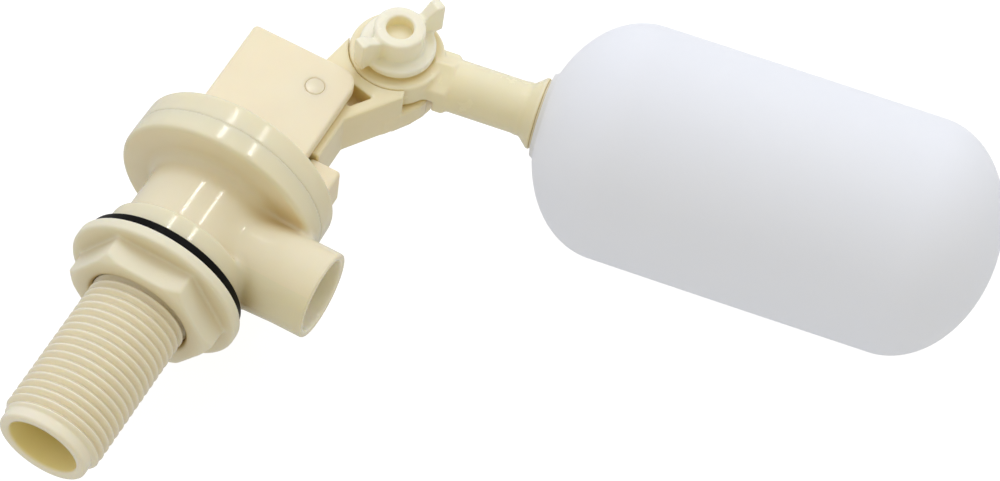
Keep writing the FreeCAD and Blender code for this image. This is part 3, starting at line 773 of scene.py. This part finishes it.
def lever_field(x, y, z):
    knuckle = radial(x, z, KNUCKLE)
    beam = extrude(round_poly(x, z, BEAM_OUTLINE, 0.4), np.abs(y) - LEVER_HALF, 0.4)
    nose = extrude(radial(x, z, (40.5, 0.0)) - 1.4, np.abs(y) - 2.5, 0.3)
    beam = cut(smin(beam, nose, 0.5), np.maximum(knuckle - KNUCKLE_ROOM_R, y - LEVER_SPLIT_Y))

    web = smin(knuckle - KNUCKLE_R, round_poly(x, z, WEB_OUTLINE, 0.4), 0.6)
    boss = extrude(web, slab(y, LEVER_SPLIT_Y, LEVER_FACE_Y), 0.45)
    root = extrude(round_poly(x, z, ROOT_OUTLINE, 0.4), slab(y, LEVER_SPLIT_Y, LEVER_HALF), 0.45)
    solid = smin(beam, smin(boss, root, 0.4), 0.5)

    pocket = extrude(round_poly(x, z, POCKET_OUTLINE, 0.35), slab(y, -9.0, -1.6), 0.3)
    solid = smax(solid, -pocket, 0.3)
    solid = drill(solid, x, y, z, PIN, 2.08)
    solid = drill(solid, x, y, z, KNUCKLE, KNUCKLE_BORE_R)
    socket = hexagon(x - KNUCKLE[0], z - KNUCKLE[1], 4.02, 30.0)
    return cut(solid, np.maximum(socket, slab(y, 3.7, 9.0)))


shape = field_mesh((36.6, -LEVER_HALF, KNUCKLE[1] - KNUCKLE_R),
                   (KNUCKLE[0] + KNUCKLE_R, LEVER_FACE_Y, 3.2), CELL * 0.75, lever_field)
add_part("lever_moulding", shape, "lever", "lever_plastic", "lever")

# ------------------------------------------------------------------ float arm (arm frame)
ARM_DISC = (KNUCKLE_R, -5.6, 0.3, 0.55)
ARM_SEAT = (7.0, -6.4, -3.0, 0.25)
ARM_R = 5.65
ARM_TUBE = (ARM_R, 10.9, 31.5)
ARM_SPIGOT = (4.9, 31.0, 42.0)
ARM_BORE = (3.9, 16.0, 50.0)


def arm_field(x, y, z):
    rad = radial(y, z)
    hub = radial(x, z)
    solid = smin(cylinder(hub, y, *ARM_DISC), cylinder(hub, y, *ARM_SEAT), 0.5)
    # six-sided collar with a corner facing the wing screw's side, flush with the tube
    collar = np.maximum(hexagon(y, z, 5.66, 30.0, blend=0.35), slab(x, 6.0, 13.0))
    collar = smax(collar, (rad - ARM_R - (13.1 - x) * 1.0) * 0.7, 0.25)
    # room for the lever's knuckle, wider towards -Z
    clear = 10.65 + np.clip((-z - 2.2) * 0.25, 0.0, 0.9)
    collar = np.maximum(collar, np.minimum(y - 0.3, clear - hub))
    collar = smax(collar, (-5.75 - y) - np.clip((x - 7.6) * 1.1, 0, 3.0), 0.4)
    solid = smin(solid, collar, 0.7)
    solid = smin(solid, cylinder(rad, x, *ARM_TUBE), 0.25)
    flare = rad - ARM_R - np.clip((x - 29.0) * 0.88, 0, 2.05)
    solid = smin(solid, np.maximum(flare, slab(x, 28.0, 31.95)) * 0.8, 0.5)
    solid = np.minimum(solid, cylinder(rad, x, *ARM_SPIGOT))
    solid = cut(solid, cylinder(rad, x, *ARM_BORE))
    return drill(solid, x, y, z, (0, 0), KNUCKLE_BORE_R)


shape = field_mesh((-10.0, -7.7, -10.0), (42.0, 7.7, 10.0), CELL * 0.85, arm_field)
add_part("arm_moulding", shape, "arm", "arm_plastic", "float_arm", ARM_FRAME)

# ------------------------------------------------------------------ wing screw (head towards -Y)
WING_TURN = math.radians(27.0)
WING_REACH = 10.35
SCREW_FLANGE = (8.0, -8.4, -6.45, 0.6)
SCREW_BOSS = (5.4, -13.7, -7.5, 0.7)
SCREW_WELL = (2.85, -30.0, -10.7, 0.2)
SCREW_SHANK = (2.1, -8.0, 6.5)


def screw_field(x, y, z):
    from_x, from_z = x - KNUCKLE[0], z - KNUCKLE[1]
    cosine, sine = math.cos(WING_TURN), math.sin(WING_TURN)
    along = from_x * cosine - from_z * sine
    across = from_x * sine + from_z * cosine
    rad = radial(along, across)
    solid = smin(cylinder(rad, y, *SCREW_FLANGE), cylinder(rad, y, *SCREW_BOSS), 0.8)
    # the wings thicken and rise away from the centre
    half = 1.15 + np.clip((np.abs(along) - 5.5) * 0.10, 0, 1.0)
    wing = extrude(np.abs(across) - half, np.abs(along) - WING_REACH, 0.5)
    crest = -9.4 - 5.8 * np.clip((np.abs(along) - 2.5) / 6.0, 0, 1) ** 0.8
    wing = smax(wing, np.maximum((crest - y) * 0.75, y + 7.7), 0.35)
    solid = smin(solid, wing, 1.0)
    solid = smax(solid, -cylinder(rad, y, *SCREW_WELL), 0.5)
    return np.minimum(solid, cylinder(rad, y, *SCREW_SHANK))


shape = field_mesh((KNUCKLE[0] - 10.6, -15.3, KNUCKLE[1] - 8.2),
                   (KNUCKLE[0] + 10.6, 6.5, KNUCKLE[1] + 8.2), CELL * 0.7, screw_field)
add_part("wing_screw_moulding", shape, "screw", "screw_plastic", "wing_screw")

# ------------------------------------------------------------------ float (arm frame)
FLOAT_START, FLOAT_LENGTH, FLOAT_R = 32.0, 98.7, 25.3
CAP_DEPTH = 19.0
WALL = 1.4
NEAR_CAP_X = FLOAT_START + CAP_DEPTH
FAR_CAP_X = FLOAT_START + FLOAT_LENGTH - CAP_DEPTH
SOCKET_R = 6.6
SOCKET_END = FLOAT_START + 14.0
# mouth of the socket: distance from the float's start, radius
MOUTH = [(2.4, SOCKET_R), (2.4, 7.5), (0.7, 7.5), (0.45, 8.0), (0.55, 8.9)]


def cap(centre, depth, radius, angles):
    return [(centre + depth * math.sin(t), radius * math.cos(t)) for t in angles]


def float_outside(cap_steps=28, side_steps=26):
    opening = math.acos(9.4 / FLOAT_R)
    points = [(SOCKET_END, SOCKET_R)] + [(FLOAT_START + x, radius) for x, radius in MOUTH]
    points += cap(NEAR_CAP_X, -CAP_DEPTH, FLOAT_R,
                  [opening * (1 - i / cap_steps) for i in range(cap_steps + 1)])
    for i in range(1, side_steps):
        t = i / side_steps
        points.append((NEAR_CAP_X + (FLOAT_LENGTH - 2 * CAP_DEPTH) * t,
                       FLOAT_R + 0.05 * math.sin(math.pi * t)))
    return points + cap(FAR_CAP_X, CAP_DEPTH, FLOAT_R,
                        [math.pi / 2 * i / cap_steps for i in range(cap_steps + 1)])


def float_inside(steps=20):
    radius, depth = FLOAT_R - WALL, CAP_DEPTH - WALL
    opening = math.acos(9.0 / radius)
    points = [(SOCKET_END, SOCKET_R), (SOCKET_END, 8.4)]
    points += cap(NEAR_CAP_X, -depth, radius,
                  [opening * (1 - i / steps) for i in range(steps + 1)])
    return points + cap(FAR_CAP_X, depth, radius,
                        [math.pi / 2 * i / steps for i in range(1, steps + 1)])


# one closed skin: outside, then back along the inside
shape = join_parts(lathe(float_outside(), 160), lathe(float_inside()[::-1], 160))
add_part("float_skin", shape, "arm", "float_plastic", "float_shell", ARM_FRAME,
         outward=True, weld=True)

# ------------------------------------------------------------------ CAD nodes
SLOT_OF = {part["node"]: part["material_slot"] for part in frame["record"]["subparts"]}
for name, ob in frame["nodes"].items():
    paint(ob, SLOT_OF[name])
    if name in REPLACED:
        continue
    bevel = ob.modifiers.new("soft_edges", "BEVEL")
    bevel.width = 0.00012
    bevel.segments = 2
    bevel.limit_method = "ANGLE"
    bevel.angle_limit = math.radians(40)

# ------------------------------------------------------------------ table (metres)
TABLE_HALF, TABLE_Y = 3.0, 0.0262


def add_table():
    """Plane at +Y of the valve, facing -Y; see-through from behind."""
    mesh = bpy.data.meshes.new("table_top")
    corners = [(-TABLE_HALF, -TABLE_HALF), (TABLE_HALF, -TABLE_HALF),
               (TABLE_HALF, TABLE_HALF), (-TABLE_HALF, TABLE_HALF)]
    mesh.from_pydata([(x, TABLE_Y, z) for x, z in corners], [], [(0, 1, 2, 3)])
    table = link("table_top", mesh)
    material, shader = new_material("pale_table")
    shader.tree.nodes.clear()
    # brighter to the camera than to the rays that light the valve
    camera_ray = shader.node("LightPath").outputs["Is Camera Ray"]
    strength = shader.remap(camera_ray, target=(0.40, 0.90))
    emission = shader.node("Emission", {0: (1, 1, 1, 1), 1: strength})
    diffuse = shader.node("BsdfDiffuse", {0: (0.25, 0.25, 0.25, 1)})
    front = shader.node("AddShader", {0: emission.outputs[0], 1: diffuse.outputs[0]})
    mixed = shader.node("MixShader", {
        0: shader.node("NewGeometry").outputs["Backfacing"],
        1: front.outputs[0], 2: shader.node("BsdfTransparent").outputs[0]})
    shader.node("OutputMaterial", {0: mixed.outputs[0]})
    mesh.materials.append(material)


add_table()

# ------------------------------------------------------------------ world


def add_world():
    """Warm on one side, neutral towards +X, -Y and +Z."""
    world = bpy.data.worlds.new("studio")
    bpy.context.scene.world = world
    world.use_nodes = True
    shader = Shader(world.node_tree)
    direction = shader.node("TexCoord").outputs["Generated"]
    facing = shader.vector("DOT_PRODUCT", direction, (0.725, -0.530, 0.440), output="Value")
    blend = shader.remap(facing, source=(-0.7, 0.7), interpolation_type="SMOOTHSTEP")
    colour = shader.mix(blend, (0.61, 0.52, 0.29), (0.62, 0.61, 0.59))
    shader.fill(shader.tree.nodes["Background"], {0: colour, 1: 1.0})


add_world()

# ------------------------------------------------------------------ camera
# rows: the camera's right, up and backward directions
CAMERA_AXES = np.array([[0.4564448928965831, -0.10797088790080378, -0.8831762831476733],
                        [0.72539258592161, -0.5296365292158718, 0.4396484313745755],
                        [-0.5152316527918162, -0.8413248090280456, -0.16342860727344022]])
# the origin as seen from the camera, along those axes (mm)
ORIGIN_IN_VIEW = np.array([-66.06353292437825, -6.529837323461371, -559.3538626588206])


def add_camera():
    data = bpy.data.cameras.new("camera")
    data.sensor_fit = "HORIZONTAL"
    data.sensor_width = 36.0
    data.lens = 102.07336505612629
    data.clip_start = 0.01
    data.clip_end = 20
    camera = link("camera", data)
    place = -CAMERA_AXES.T @ ORIGIN_IN_VIEW * MM
    rows = [[*row, shift] for row, shift in zip(CAMERA_AXES.T, place)]
    camera.matrix_world = Matrix(rows + [[0, 0, 0, 1]])
    bpy.context.scene.camera = camera


add_camera()

# ------------------------------------------------------------------ lights (metres)
RIGHT, UP, BACK = (Vector(axis) for axis in CAMERA_AXES)


def add_light(name, direction, distance, target, watts, size, length=None):
    """Disc aimed at the target or, given a length, a panel whose long side follows X.

    Only panels show in reflections.
    """
    data = bpy.data.lights.new(name, "AREA")
    data.shape = "RECTANGLE" if length else "DISK"
    data.size = size
    if length:
        data.size_y = length
    data.energy = watts
    light = link(name, data)
    light.visible_glossy = bool(length)
    toward = direction.normalized()
    place = Vector(target) + toward * distance
    if length:
        along = (Vector((1, 0, 0)) - toward * toward.x).normalized()
        turn = Matrix((along.cross(toward), along, toward)).transposed()
        light.matrix_world = Matrix.Translation(place) @ turn.to_4x4()
    else:
        light.location = place
        light.rotation_euler = (Vector(target) - place).to_track_quat("-Z", "Y").to_euler()


MIDDLE = (0.045, 0, -0.03)
add_light("key_light", Vector((0.58, -0.76, 0.24)), 0.80, MIDDLE, watts=2.0, size=0.85)
add_light("fill_light", BACK * 0.9 - RIGHT * 0.5 + UP * 0.3, 0.9, MIDDLE, watts=0.5, size=0.7)
# two small bright panels: the twin streaks along the barrel and ring
for name, direction, watts in (("panel_left", (0.483, -0.825, 0.292), 0.26),
                               ("panel_right", (0.484, -0.838, -0.258), 0.22)):
    add_light(name, Vector(direction), 0.70, (0.017, -0.014, 0.0), watts, size=0.024,
              length=0.100)

view = bpy.context.scene.view_settings
view.view_transform = "Standard"
view.look = "None"
view.exposure = 0.0
view.gamma = 1.0
